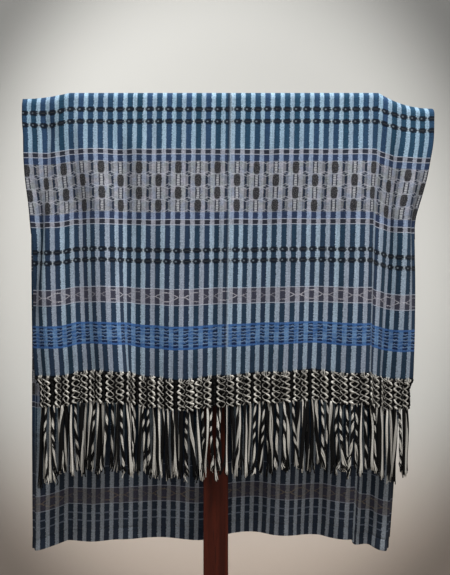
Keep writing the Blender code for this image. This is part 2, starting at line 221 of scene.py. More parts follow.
def middle_layer(paths, stripes):
    """Points of the doubled cloth's middle, a row a path and a column a stripe place.

    Each row is a flat top, a quarter round and a straight drop, plus folds outwards and sags
    downwards. Its x comes from adding up sqrt(1 - dy^2 - dz^2), so that the cloth keeps its width.
    """
    path = np.asarray(paths)[:, None]
    stripe = np.asarray(stripes)[None, :]
    flat_x = MIDDLE_AT_RIDGE + (stripe - STRIPES / 2) * STRIPE
    left_end = BAR_SHIFT - BAR_LENGTH / 2 - SINK_START
    right_end = BAR_SHIFT + BAR_LENGTH / 2 + SINK_START
    edge = CLOTH_WIDTH / 2
    left = np.clip((left_end - flat_x) / (left_end - MIDDLE_AT_RIDGE + edge), 0, 1)
    right = np.clip((flat_x - right_end) / (MIDDLE_AT_RIDGE + edge - right_end), 0, 1)
    past = np.maximum(left, right)
    left_rise, right_rise = (1 - (1 - share) ** SINK_POWER for share in (left, right))
    half_depth = HALF_DEPTH * (1 - RIDGE_NARROWS * smooth(0, 1, past))
    round_end = RIDGE_ROUND + (half_depth * ROUND_SHARE - RIDGE_ROUND) * past
    radius = np.minimum(round_end, half_depth)
    flat = half_depth - radius
    slipped = path + LEFT_SLIP * left_rise + RIGHT_SLIP * right_rise
    in_front = slipped < 0
    side = np.where(in_front, -1.0, 1.0)
    along = np.abs(slipped)
    on_ridge = np.minimum(along / ARC_END, 1) * (flat + radius * math.pi / 2)
    angle = np.clip((on_ridge - flat) / radius, 0, math.pi / 2)
    below = np.maximum(along - ARC_END, 0.0)
    drop = radius * (1 - np.cos(angle)) + below
    out = np.minimum(on_ridge, flat) + radius * np.sin(angle)
    out = out + (HALF_DEPTH - half_depth) * smooth(0, FOLD_FULL, below)

    hang = np.where(below > 0, below + RIDGE_ROUND, 0.0)
    wide = 0 * hang + stripe
    front_depth, front_sag = hanging(FRONT_FOLDS, FRONT_SAG, FRONT_CREASES, wide, hang, FRONT_DROP)
    back_depth, back_sag = hanging(BACK_FOLDS, BACK_SAG, BACK_CREASES, wide, hang, BACK_DROP)
    depth = np.where(in_front, front_depth, back_depth)
    sag = np.where(in_front, front_sag, back_sag)
    y = side * (out + depth)
    z = RIDGE - drop - sag - LEFT_SINK * left_rise - RIGHT_SINK * right_rise

    flat_across = stripe[0] * STRIPE
    slope_y = np.gradient(y, flat_across, axis=1)
    slope_z = np.gradient(z, flat_across, axis=1)
    across = np.sqrt(np.clip(1 - slope_y**2 - slope_z**2, 0.05, 1))
    steps = (across[:, 1:] + across[:, :-1]) / 2 * np.diff(flat_across)
    x = np.concatenate([np.zeros((len(path), 1)), np.cumsum(steps, axis=1)], axis=1)
    middle = np.argmin(np.abs(stripe[0] - STRIPES / 2))
    lean = np.where(path < 0, FRONT_LEAN, BACK_LEAN)
    full = np.where(path < 0, FRONT_DROP, BACK_DROP)
    drift = lean * np.minimum(hang[:, middle:middle + 1] / full, 1)
    x = x - x[:, middle:middle + 1] + MIDDLE_AT_RIDGE + drift
    return np.stack([x, y, z], -1)


def outwards(points):
    """Unit normals of a grid of points, from the cross product of its two slopes."""
    normal = np.cross(np.gradient(points, axis=1), np.gradient(points, axis=0))
    return normal / np.linalg.norm(normal, axis=-1, keepdims=True)


# Meshes

def add_piece(name, points, faces, finishes, uv=None, tone=None, slots=None):
    """A mesh from arrays: points, one array of faces, UVs by corner, and a tone for each point."""
    mesh = bpy.data.meshes.new(name)
    sizes = np.full(len(faces), faces.shape[1])
    mesh.vertices.add(len(points))
    mesh.vertices.foreach_set("co", points.astype(np.float32).ravel())
    mesh.loops.add(faces.size)
    mesh.loops.foreach_set("vertex_index", faces.astype(np.int32).ravel())
    mesh.polygons.add(len(faces))
    mesh.polygons.foreach_set("loop_start", (np.cumsum(sizes) - sizes).astype(np.int32))
    mesh.update(calc_edges=True)
    for finish in finishes:
        mesh.materials.append(finish)
    if uv is not None:
        mesh.uv_layers.new(name=WEAVE_MAP)
        mesh.uv_layers[WEAVE_MAP].data.foreach_set("uv", uv.astype(np.float32).ravel())
    if tone is not None:
        mesh.attributes.new("tone", "FLOAT", "POINT").data.foreach_set("value", tone.astype(np.float32))
    if slots is not None:
        mesh.polygons.foreach_set("material_index", slots.astype(np.int32))
    mesh.shade_smooth()
    mesh.validate()
    piece = bpy.data.objects.new(name, mesh)
    bpy.context.scene.collection.objects.link(piece)
    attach(piece, "root")
    return piece


def grid_faces(rows, columns):
    """Quads of a grid, turned so that they face the way that outwards() points."""
    number = np.arange(rows * columns).reshape(rows, columns)
    corners = (number[:-1, :-1], number[:-1, 1:], number[1:, 1:], number[1:, :-1])
    return np.stack(corners, -1).reshape(-1, 4)


def add_cloth(name, points, stripes, lengths, finish):
    """A sheet of cloth from a grid, with its stripe and its length in mm as the UV, and a thickness."""
    faces = grid_faces(*points.shape[:2])
    flat = np.stack(np.broadcast_arrays(stripes[None, :], lengths[:, None] / MM), -1).reshape(-1, 2)
    piece = add_piece(name, points.reshape(-1, 3), faces, [finish], uv=flat[faces])
    wall = piece.modifiers.new("cloth_thickness", "SOLIDIFY")
    wall.thickness = CLOTH_THICK
    wall.offset = -1
    return piece


def tubes(centres, radii, sides, flatten=1.0):
    """Closed cords: a ring of points round each centre, in the plane across the cord's own direction.

    centres is (cords, steps, 3) and radii (cords, steps). Returns points, faces and corner UVs: the
    turn round the cord and the mm along it.
    """
    cords, steps = radii.shape
    ahead = np.gradient(centres, axis=1)
    ahead /= np.linalg.norm(ahead, axis=-1, keepdims=True)
    aside = np.cross(ahead, [0.0, 1.0, 0.0])
    aside /= np.linalg.norm(aside, axis=-1, keepdims=True)
    deep = np.cross(ahead, aside)
    turn = np.arange(sides) / sides * 2 * math.pi
    ring = (aside[:, :, None] * np.cos(turn)[:, None] + deep[:, :, None] * np.sin(turn)[:, None] * flatten)
    points = centres[:, :, None] + ring * radii[:, :, None, None]
    number = np.arange(cords * steps * sides).reshape(cords, steps, sides)
    after = np.roll(number, -1, axis=2)
    faces = np.stack([number[:, :-1], after[:, :-1], after[:, 1:], number[:, 1:]], -1)
    length = np.cumsum(np.linalg.norm(np.diff(centres, axis=1, prepend=centres[:, :1]), axis=-1), axis=1) / MM
    low = np.broadcast_to(length[:, :-1, None], faces.shape[:3])
    high = np.broadcast_to(length[:, 1:, None], faces.shape[:3])
    here = np.broadcast_to(np.arange(sides) / sides, faces.shape[:3])
    there = here + 1 / sides
    uv = np.stack([np.stack([here, low], -1), np.stack([there, low], -1),
                   np.stack([there, high], -1), np.stack([here, high], -1)], -2)
    return points, faces, uv


def add_cords(name, centres, radii, sides, finishes, tone, slot, flatten=1.0):
    """One mesh of many closed cords, with a finish a cord and a tone a cord or a point. The first and
    last rings shrink to almost nothing, which closes the cords."""
    centres = np.concatenate([centres[:, :1], centres, centres[:, -1:]], axis=1)
    centres[:, 0, 2] += 0.05 * MM
    centres[:, -1, 2] -= 0.05 * MM
    radii = np.concatenate([radii[:, :1] * 0.05, radii, radii[:, -1:] * 0.05], axis=1)
    points, faces, uv = tubes(centres, radii, sides, flatten)
    shape = points.shape[:3]
    tone = tone[:, None] if tone.ndim == 1 else np.concatenate([tone[:, :1], tone, tone[:, -1:]], axis=1)
    tones = np.broadcast_to(tone[:, :, None], shape).ravel()
    slots = np.broadcast_to(slot[:, None, None], faces.shape[:3]).ravel()
    piece = add_piece(name, points.reshape(-1, 3), faces.reshape(-1, 4), finishes,
                      uv=uv.reshape(-1, 2), tone=tones, slots=slots)
    return piece


# Shader maths

def tint(red, green, blue):
    """A colour as a screen shows it, 0 to 255, made linear."""
    share = np.array([red, green, blue]) / 255
    linear = np.where(share <= 0.04045, share / 12.92, ((share + 0.055) / 1.055) ** 2.4)
    return (*linear.tolist(), 1.0)


class Value:
    """A number that varies over a surface. Plain operators on it add Math nodes."""

    def __init__(self, finish, socket):
        self.finish = finish
        self.socket = socket

    def math(self, operation, *others):
        inputs = dict(enumerate((self, *others)))
        made = self.finish.node("ShaderNodeMath", {"operation": operation}, inputs)
        return Value(self.finish, made.outputs[0])

    def __add__(self, other):
        return self.math("ADD", other)

    __radd__ = __add__

    def __sub__(self, other):
        return self.math("SUBTRACT", other)

    def __rsub__(self, other):
        return self * -1.0 + other

    def __mul__(self, other):
        return self.math("MULTIPLY", other)

    __rmul__ = __mul__

    def __truediv__(self, other):
        return self.math("DIVIDE", other)

    def __mod__(self, other):
        return self.math("FLOORED_MODULO", other)

    def __pow__(self, other):
        return self.math("POWER", other)

    def __abs__(self):
        return self.math("ABSOLUTE")

    def floor(self):
        return self.math("FLOOR")

    def sine(self):
        return self.math("SINE")

    def least(self, other):
        return self.math("MINIMUM", other)

    def most(self, other):
        return self.math("MAXIMUM", other)

    def over(self, edge, soft):
        """0 below the edge and 1 above it, easing over soft to each side."""
        made = self.finish.node(
            "ShaderNodeMapRange",
            {"interpolation_type": "SMOOTHSTEP"},
            {"Value": self, "From Min": edge - soft, "From Max": edge + soft},
        )
        return Value(self.finish, made.outputs["Result"])

    def under(self, edge, soft):
        return 1.0 - self.over(edge, soft)

    def between(self, low, high, soft):
        return self.over(low, soft) * self.under(high, soft)


class Finish:
    """A material, and the one method that adds nodes to it."""

    def __init__(self, name, roughness, sheen=0.0):
        self.material = bpy.data.materials.new(name)
        self.material.use_nodes = True
        self.tree = self.material.node_tree
        self.shader = self.tree.nodes["Principled BSDF"]
        self.shader.inputs["Roughness"].default_value = roughness
        self.shader.inputs["Specular IOR Level"].default_value = 0.12
        self.shader.inputs["Sheen Weight"].default_value = sheen
        self.shader.inputs["Sheen Roughness"].default_value = 0.6

    def node(self, kind, settings, inputs):
        made = self.tree.nodes.new(kind)
        for name, value in settings.items():
            setattr(made, name, value)
        for name, value in inputs.items():
            self.feed(made.inputs[name], value)
        return made

    def feed(self, socket, value):
        if isinstance(value, Value):
            self.tree.links.new(value.socket, socket)
        elif isinstance(value, bpy.types.NodeSocket):
            self.tree.links.new(value, socket)
        else:
            socket.default_value = value

    def value(self, node, output):
        return Value(self, node.outputs[output])

    def place_on_weave(self):
        """The two values of the piece's own UV map."""
        uv = self.node("ShaderNodeUVMap", {"uv_map": WEAVE_MAP}, {})
        split = self.node("ShaderNodeSeparateXYZ", {}, {"Vector": uv.outputs["UV"]})
        return self.value(split, "X"), self.value(split, "Y")

    def noise(self, scale, detail=3.0, **place):
        """Noise, 0 to 1, at a place given as X, Y and Z values."""
        at = self.node("ShaderNodeCombineXYZ", {}, place)
        inputs = {"Vector": at.outputs[0], "Scale": scale, "Detail": detail}
        return self.value(self.node("ShaderNodeTexNoise", {}, inputs), "Fac")

    def chance(self, seed):
        """A number from 0 to 1 that is its own for each whole value of seed."""
        made = self.node("ShaderNodeTexWhiteNoise", {"noise_dimensions": "1D"}, {"W": seed})
        return self.value(made, "Value")

    def mix(self, share, under, over):
        """The colour over laid on the colour under, as far as share says."""
        made = self.node("ShaderNodeMix", {"data_type": "RGBA"}, {0: share, 6: under, 7: over})
        return made.outputs[2]

    def shade(self, colour, share):
        """A colour made lighter or darker by a value."""
        made = self.node("ShaderNodeVectorMath", {"operation": "SCALE"}, {0: colour, "Scale": share})
        return made.outputs[0]

    def bump(self, height, distance, strength):
        inputs = {"Height": height, "Distance": distance, "Strength": strength}
        made = self.node("ShaderNodeBump", {}, inputs)
        self.feed(self.shader.inputs["Normal"], made.outputs["Normal"])


# The cloth's design. Lengths are mm from the nearer end, and the order of bands comes round
# again every DESIGN mm.
DESIGN = 419.0
REPEATS_FROM = 100.0
DASHES = (20.3, 41.3, 199.3, 218.0)
PALE_LINES = (125.3, 152.3, 261.5, 270.5, 382.8, 391.3)
ZIGZAG = (125.3, 152.3)
FIGURES = (283.3, 370.8)
FIGURE = (FIGURES[1] - FIGURES[0]) / 4
RUNGS = 5.0
BLUE_BAND = (51.0, 90.0)
RIM = 3.6
CENTRE_CREASE = 21.12
FAINT_LINE = 87.5
FAINT_DOTS = (167.5, 180.5)


def nearest(value, places):
    """How far value is from the nearest of some places."""
    distance = abs(value - places[0])
    for place in places[1:]:
        distance = distance.least(abs(value - place))
    return distance


class StripedCloth(Finish):
    """Blue and pale stripes with woven bands, worked out from the stripe and the length in mm.

    across counts the dark stripes' middles, and aside is how far a place lies from the nearest.
    end is mm from the nearer end, and place is the same within one round of the design.
    """

    def __init__(self):
        super().__init__("striped_cloth", 0.92, sheen=0.03)
        self.column, self.length = self.place_on_weave()
        self.fleck = self.grain(6.5, 0.40, detail=1.0)
        wander = (self.grain(3.0, 0.12) - 0.5) * 0.05 + (self.fleck - 0.5) * 0.16
        self.across = self.column * ((STRIPES + 0.5) / STRIPES) - 0.25 + wander
        self.number = (self.across + 0.5).floor()
        self.offset = self.across - self.number
        self.aside = abs(self.offset)
        self.even = (self.number % 2.0).under(0.5, 0.1)
        pull = (self.grain(0.35, 0.01) - 0.5) * 3.0
        self.end = self.length.least(CLOTH_LENGTH / MM - self.length) + pull
        self.repeats = self.end.over(REPEATS_FROM, 0.5)
        self.place = self.end % DESIGN
        # Near the fold, far from both ends, the cloth is greyer with less pattern, and darker there as
        # painted shade.
        self.faded_and_shaded = self.end.over(840.0, 80.0)
        self.hem = self.end.under(4.0, 4.0)
        self.stripes()
        self.figures()
        self.lines()
        self.dashes()
        self.blue_band()
        self.hem_grain_and_painted_shade()

    def grain(self, per_stripe, per_mm, shift=0.0, detail=3.0):
        """Noise with this many grains a stripe across and a mm along."""
        return self.noise(1.0, detail, X=self.column * per_stripe + shift, Y=self.length * per_mm)

    def lay(self, share, colour):
        """Lays a colour on the cloth's colour, as far as share says."""
        self.colour = self.mix(share, self.colour, colour)

    def stripes(self):
        """The warp's two colours, each stripe a little its own, greyer near the hem, and greyer and darker
        near the fold, the darkening there being painted shade.
        """
        high_up = self.end.over(330.0, 190.0)
        own = self.chance(self.number)
        own_pale = self.chance(self.across.floor() + 100.0)
        deep = self.mix(own.over(0.5, 0.45), tint(33, 68, 92), tint(42, 69, 100))
        deep = self.mix((1.0 - high_up) * 0.85, deep, self.mix(own, tint(29, 48, 66), tint(33, 45, 64)))
        # Near the fold both colours turn greyer and darker, the darkening being painted shade.
        deep = self.mix(self.faded_and_shaded * 0.9, deep, tint(34, 38, 48))
        pale = self.mix(high_up, tint(146, 160, 176), tint(138, 168, 190))
        pale = self.mix(own_pale.over(0.62, 0.3) * (0.5 - high_up * 0.25), pale, tint(140, 145, 160))
        pale = self.mix(own_pale.under(0.25, 0.2) * 0.5, pale, tint(156, 180, 198))
        pale = self.mix(self.faded_and_shaded * 0.9, pale, tint(132, 136, 142))
        lavender = self.place.between(PALE_LINES[3], PALE_LINES[4], 1.0) * self.repeats
        between = self.place.between
        chained = between(*ZIGZAG, 0.6)
        brown = (between(*PALE_LINES[2:4], 0.6) + between(*PALE_LINES[4:], 0.6) + chained) * self.repeats
        deep_brown = self.mix(chained, tint(42, 38, 44), tint(60, 58, 70))
        pale_brown = self.mix(self.faded_and_shaded, tint(150, 147, 156), tint(108, 104, 104))
        deep = self.mix(lavender * 0.7, deep, tint(40, 50, 80))
        pale = self.mix(lavender * 0.7, pale, tint(130, 142, 172))
        deep = self.mix(brown * 0.8, deep, deep_brown)
        pale = self.mix(brown * 0.75, pale, pale_brown)
        self.dark = self.aside.under(0.265 + high_up * 0.02 + self.hem * 0.08, 0.04)
        self.colour = self.mix(self.dark, pale, deep)
        self.own = own

    def figures(self):
        """Rows of ovals and ladders on every second stripe, each inside a pale hexagon."""
        shown = self.place.between(*FIGURES, 1.0) * self.repeats
        number, aside = self.number, self.aside
        along = (self.place - FIGURES[0]) / FIGURE
        row = along.floor()
        level = along - row - 0.5
        oval_here = ((number * 0.5 + row) % 2.0).between(0.75, 1.25, 0.1) * self.even
        ladder_here = self.even - oval_here
        left_is_oval = (((number - 1.0) * 0.5 + row) % 2.0).between(0.75, 1.25, 0.1)
        warm = self.grain(0.9, 0.06, detail=2.0).over(0.5, 0.12)
        greenish = self.grain(1.3, 0.05, 40.0, 1.0).over(0.56, 0.08) * 0.6
        rosy = self.grain(1.1, 0.07, 80.0, 1.0).over(0.57, 0.08) * 0.6
        ground = self.mix(warm, tint(137, 141, 153), tint(145, 143, 139))
        ground = self.mix(greenish, ground, tint(149, 152, 139))
        ground = self.mix(rosy, ground, tint(172, 164, 168))
        ground = self.mix(self.dark * 0.55, ground, tint(58, 70, 90))
        self.lay(shown * (0.68 + self.dark * 0.27), ground)
        shift = (left_is_oval * -2.0 + 1.0) * 0.12
        seam = abs(self.offset - shift).under(0.12, 0.04) * (1.0 - self.even) * shown
        self.lay(seam * 0.95, tint(20, 32, 50))
        oval = ((aside / 0.34) ** 3.0 + (abs(level) / 0.49) ** 3.0).under(1.0, 0.28) * oval_here * shown
        speck = self.grain(9.0, 0.55, 20.0, 1.0).over(0.56, 0.1)
        self.lay(oval * 0.95, self.mix(speck * 0.6, tint(32, 32, 35), tint(98, 96, 98)))
        window = aside.under(0.13, 0.03) * abs(level).under(0.43, 0.04) * ladder_here * shown
        self.lay(window * 0.7, tint(178, 180, 184))
        legs = abs(aside - 0.20).under(0.055, 0.02) * abs(level).under(0.43, 0.04) * ladder_here * shown
        rungs = ((level * RUNGS) % 1.0 - 0.5).between(-0.18, 0.18, 0.05) * aside.under(0.16, 0.03)
        self.lay(legs * 0.9, tint(40, 42, 54))
        self.lay(rungs * ladder_here * shown * 0.6, tint(76, 76, 88))
        cell = self.across - (self.across / 2.0 + 0.5).floor() * 2.0
        slant = 0.5 - (abs(cell) - 0.45).most(0.0) * 0.34
        outline = abs(abs(level) - slant).under(0.03, 0.025) * shown * (1.0 - oval * 0.7)
        self.lay(outline * 0.5, tint(186, 188, 198))
        self.oval = oval

    def lines(self):
        """Pale lines, and a chain of hexagons between two of them, fuzzier and brighter in places."""
        self.pale_line = nearest(self.place, PALE_LINES).under(0.62, 0.42) * self.repeats
        middle = sum(ZIGZAG) / 2
        wave = abs(((self.across / 3.0) % 1.0) - 0.5) * 2.0
        chain_at = ((wave * 1.7 - 0.35).most(0.0)).least(1.0) * 7.5 + (self.fleck - 0.5) * 3.0
        chain = abs(abs(self.place - middle) - chain_at).under(0.8, 0.5)
        chain = chain * self.place.between(*ZIGZAG, 0.5) * self.repeats
        strokes = self.grain(0.22, 0.0, 5.0, 0.0).over(0.5, 0.08)
        thread = self.mix(self.faded_and_shaded, tint(176, 174, 182), tint(150, 130, 96))
        self.lay(chain * (0.12 + self.dark * 0.2 + strokes * 0.5) * (1.0 - self.faded_and_shaded * 0.6), thread)
        self.lay(self.pale_line * (0.8 - self.faded_and_shaded * 0.35), tint(176, 182, 196))
        faint = nearest(self.place, (FAINT_LINE,)).under(0.6, 0.4) * self.faded_and_shaded
        dots = nearest(self.place, FAINT_DOTS).under(1.1, 0.6) * self.dark * self.faded_and_shaded
        self.lay(faint * 0.45 + dots * 0.35, tint(140, 150, 168))

    def dashes(self):
        """Black blocks on the dark stripes, joined by a thin line, and black and cream ticks between."""
        row_gap = nearest(self.place, DASHES)
        shown = self.repeats * (1.0 - self.faded_and_shaded)
        aside, offset = self.aside, self.offset
        chosen = self.chance(self.number + (self.end / 30.0).floor() * 57.0).over(0.45, 0.1)
        ragged = (self.fleck - 0.5) * 1.6
        blocks = ((aside / 0.375) ** 4.0 + (row_gap / 4.6) ** 4.0 + ragged).under(1.0, 0.45) * shown
        dots = (((offset + 0.12) / 0.10) ** 2.0 + (row_gap / 1.4) ** 2.0).under(1.0, 0.6) * chosen * shown
        threads = aside.under(0.24, 0.05) * row_gap.under(0.5, 0.4) * (1.0 - chosen) * shown
        joins = row_gap.under(1.1, 0.5) * shown
        ticks = abs(aside - 0.415).under(0.035, 0.02) * row_gap.under(3.6, 0.8) * shown
        cream = aside.over(0.455, 0.015) * row_gap.under(3.0, 0.8) * shown
        self.lay(joins * 0.72, tint(24, 28, 36))
        self.lay(ticks * 0.65, tint(44, 50, 58))
        self.lay(cream * 0.6, tint(186, 190, 190))
        self.lay(blocks * 0.92, tint(9, 17, 28))
        self.lay(threads * 0.12, tint(150, 150, 146))
        self.lay(dots * 0.4, tint(150, 164, 176))
        self.blocks = blocks

    def blue_band(self):
        """The royal blue band near each end: two rims, blue over the pale stripes, and short navy and
        pale wefts, more wavy in places, over the dark ones."""
        low, high = BLUE_BAND
        shown = self.end.between(low, high, 0.5) * (1.0 - self.repeats)
        rim = abs(self.end - (low + high) / 2).over((high - low) / 2 - RIM, 0.5) * shown
        wavy = (self.grain(2.4, 0.10) - 0.5) * 9.0
        weft = ((self.end + wavy) / 6.0) % 1.0
        patch = self.grain(0.7, 0.05, 60.0, 1.0).over(0.5, 0.12)
        on_pale = self.mix(patch, tint(46, 88, 142), tint(88, 124, 166))
        on_pale = self.mix(weft.over(0.62, 0.12) * 0.4, on_pale, tint(124, 150, 178))
        on_dark = self.mix(weft.over(0.45, 0.1), tint(12, 28, 58), tint(48, 80, 124))
        on_dark = self.mix(weft.over(0.74, 0.08) * 0.65, on_dark, tint(124, 146, 172))
        self.lay(shown * 0.96, self.mix(self.dark, on_pale, on_dark))
        self.lay(rim * 0.85, self.mix(self.dark * 0.5, tint(60, 102, 158), tint(32, 64, 116)))
        below = self.end.between(low + RIM, low + RIM + 3.2, 0.6) * self.dark * shown
        self.lay(below * 0.9, tint(12, 26, 66))

    def hem_grain_and_painted_shade(self):
        """The hem's black and white roots, painted shade and highlight on the two sides of the crease up the
        middle, the threads' own unevenness, and painted shade near the hem.
        """
        self.lay(self.end.under(3.0, 2.0) * self.dark, tint(12, 12, 16))
        self.lay(self.hem * (1.0 - self.dark) * 0.55, tint(196, 196, 192))
        crease = self.column - CENTRE_CREASE
        # Painted shade on the left of the centre crease and a painted highlight on its right.
        self.lay(crease.between(-0.2, -0.02, 0.04) * 0.5, tint(26, 34, 50))
        self.lay(crease.between(0.02, 0.26, 0.05) * 0.32, tint(178, 192, 204))
        streak = self.grain(8.0, 0.03) - 0.5
        cross = self.grain(0.9, 0.45, 30.0, 2.0) - 0.5
        cloudy = self.grain(0.8, 0.02, 10.0) - 0.5
        uneven = (self.fleck - 0.5) * 1.05 + streak * 0.5 + cross * 0.4 + cloudy * 0.35
        # The term from the end is painted shade, darker towards the hem.
        uneven = uneven + (self.own - 0.5) * 0.10 - self.end.under(46.0, 26.0) * 0.15
        self.feed(self.shader.inputs["Base Color"], self.shade(self.colour, uneven + 0.98))
        threads_up = (self.column * (2 * math.pi * 22)).sine() * 0.35
        weft_up = (self.length * (2 * math.pi / 1.1)).sine() * 0.15
        woven_in = (self.pale_line + self.blocks + self.oval * 0.6) * 0.9
        self.bump(threads_up + weft_up + self.fleck * 1.6 + woven_in, 0.0003, 0.8)


def yarn(name, low, high, sheen):
    """Twisted cotton yarn: slanting grooves from the turn round the cord and the mm along it, bumped and
    painted darker as shade.
    """
    cord = Finish(name, 0.85, sheen=sheen)
    turn, length = cord.place_on_weave()
    tone = cord.value(cord.node("ShaderNodeAttribute", {"attribute_name": "tone"}, {}), "Fac")
    groove = ((turn * (2 * math.pi) * 2.0 + length * 1.3).sine() + 1.0) * 0.5
    fibre = cord.noise(1.0, X=turn * 7.0 + tone * 50.0, Y=length * 0.16)
    colour = cord.mix((tone * 0.85 + fibre * 0.3).least(1.0), low, high)
    # Painted shade: the colour is darker in the grooves.
    cord.feed(cord.shader.inputs["Base Color"], cord.shade(colour, 0.80 + groove * 0.14 + fibre * 0.12))
    cord.bump(groove * 0.6 + fibre, 0.0004, 0.5)
    return cord.material


def stained_wood():
    """Dark red-brown stain over straight grain that runs up the post and along the bar."""
    wood = Finish("stained_wood", 0.5)
    place = wood.node("ShaderNodeTexCoord", {}, {})
    split = wood.node("ShaderNodeSeparateXYZ", {}, {"Vector": place.outputs["Object"]})
    x, y, z = (wood.value(split, axis) for axis in "XYZ")
    upright = z.under(1.309, 0.0005) * z.over(0.030, 0.0005)
    thin, long_way = 90.0, 3.0
    grain = wood.noise(1.0, X=x * (upright * (thin - long_way) + long_way), Y=y * thin,
                       Z=z * (upright * (long_way - thin) + thin), detail=5.0)
    fine, stretched = 600.0, 40.0
    pores = wood.noise(1.0, X=x * (upright * (fine - stretched) + stretched), Y=y * fine,
                       Z=z * (upright * (stretched - fine) + fine), detail=2.0)
    colour = wood.mix(grain.over(0.5, 0.22), tint(48, 16, 8), tint(70, 25, 13))
    colour = wood.mix(pores.over(0.64, 0.06) * 0.6, colour, tint(30, 13, 9))
    wood.feed(wood.shader.inputs["Base Color"], colour)
    wood.feed(wood.shader.inputs["Roughness"], 0.36 + grain * 0.2)
    wood.bump(pores * -0.4 + grain * 0.5, 0.0004, 0.5)
    return wood.material


# The pieces

def layer(paths, stripes, out):
    """One layer of the cloth: the middle layer moved along its normals by out, a number or one a row."""
    points = middle_layer(paths, stripes)
    return points + outwards(points) * np.reshape(np.broadcast_to(out, len(paths)), (-1, 1, 1))


def front_cloth(finish):
    """The outer layer, from the visible end up and over the bar."""
    stripes = np.linspace(0, STRIPES, 235)
    over = np.linspace(-ARC_END - 0.004, JOIN, 26)
    paths = np.concatenate([np.linspace(-FRONT_PATH, over[0], 149)[:-1], over])
    piece = add_cloth("front_cloth", layer(paths, stripes, LAYER_OUT), stripes, FRONT_PATH + paths, finish)
    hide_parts("front_panel", "over_bar")
    return piece


def back_cloth(finish):
    """The outer layer behind, down to the fold, round it and a little way up inside."""
    stripes = np.linspace(0, STRIPES, 217)
    turn_start = BACK_PATH - FOLD_OUT
    down = np.linspace(JOIN, turn_start, 176)[:-1]
    turn = np.linspace(0, math.pi, 9)
    up = np.linspace(turn_start, turn_start - TURNED_UP, 7)[1:]
    paths = np.concatenate([down, turn_start + FOLD_OUT * np.sin(turn), up])
    opens = LAYER_OUT + (FOLD_OUT - LAYER_OUT) * smooth(turn_start - TURNED_UP, turn_start, paths)
    out = np.concatenate([np.ones(len(down)), np.cos(turn), -np.ones(len(up))]) * np.where(
        paths > turn_start, FOLD_OUT, opens)
    levels, order = np.unique(paths.round(9), return_inverse=True)
    points = middle_layer(levels, stripes)
    normals = outwards(points)
    points = points[order] + normals[order] * out[:, None, None]
    lengths = FRONT_PATH + np.concatenate([down, turn_start + turn / math.pi * 2 * FOLD_OUT,
                                           2 * BACK_PATH - up])
    piece = add_cloth("back_cloth", points, stripes, lengths, finish)
    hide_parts("back_panel")
    return piece


def inner_cloth(finish):
    """The inner layer, from just above the fold up behind, over the bar and down to its hidden end."""
    stripes = np.linspace(0, STRIPES, 169)
    front = np.linspace(-HIDDEN_PATH, -ARC_END, 36)[:-1]
    over = np.linspace(-ARC_END, ARC_END, 22)[:-1]
    behind = np.linspace(ARC_END, BACK_PATH - FOLD_OUT - TURNED_UP, 132)
    paths = np.concatenate([front, over, behind])
    points = layer(paths, stripes, -LAYER_OUT)[::-1]
    lengths = (FRONT_PATH + 2 * BACK_PATH - paths)[::-1]
    piece = add_cloth("inner_cloth", points, stripes, lengths, finish)
    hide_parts("hidden_end")
    return piece


class Hang:
    """Places below the front of the cloth, read between the points of a fine grid."""

    def __init__(self, first, last, hem, left=0.0, right=0.0):
        self.hem, self.left, self.right = hem, left, right
        self.paths = np.linspace(first, last, int(abs(last - first) / (2 * MM)) + 2)
        self.stripes = np.linspace(0, STRIPES, STRIPES * 8 + 1)
        self.points = middle_layer(self.paths, self.stripes)
        self.normals = outwards(self.points)

    def between(self, grid, row, column, down, right):
        """A blend of the grid's four points round a place."""
        upper = grid[row, column] * (1 - right) + grid[row, column + 1] * right
        lower = grid[row + 1, column] * (1 - right) + grid[row + 1, column + 1] * right
        return upper * (1 - down) + lower * down

    def at(self, stripe, path, out):
        """Points at these stripes and paths, out metres in front of the cloth's middle layer. Below
        the hem the outer stripes are gathered inwards a little."""
        gathered = self.left * np.exp(-stripe / 1.2) - self.right * np.exp((stripe - STRIPES) / 1.2)
        stripe = stripe + gathered * smooth(-0.004, 0.016, np.abs(path) - np.abs(self.hem))
        r = np.clip((path - self.paths[0]) / (self.paths[1] - self.paths[0]), 0, len(self.paths) - 1.001)
        c = np.clip(stripe * 8, 0, STRIPES * 8 - 0.001)
        row, column = np.floor(r).astype(int), np.floor(c).astype(int)
        place = (row, column, (r - row)[..., None], (c - column)[..., None])
        beyond = (stripe * 8 - c)[..., None] * STRIPE / 8 * np.array([1.0, 0, 0])
        forward = self.between(self.normals, *place) * out[..., None]
        return self.between(self.points, *place) + forward + beyond


RING_COLUMNS = ((-0.42, 0.0), (0.42, 0.5))
RING_HALF_WIDTH = 0.40
GATHERED_LEFT = 0.75
GATHERED_RIGHT = 0.60


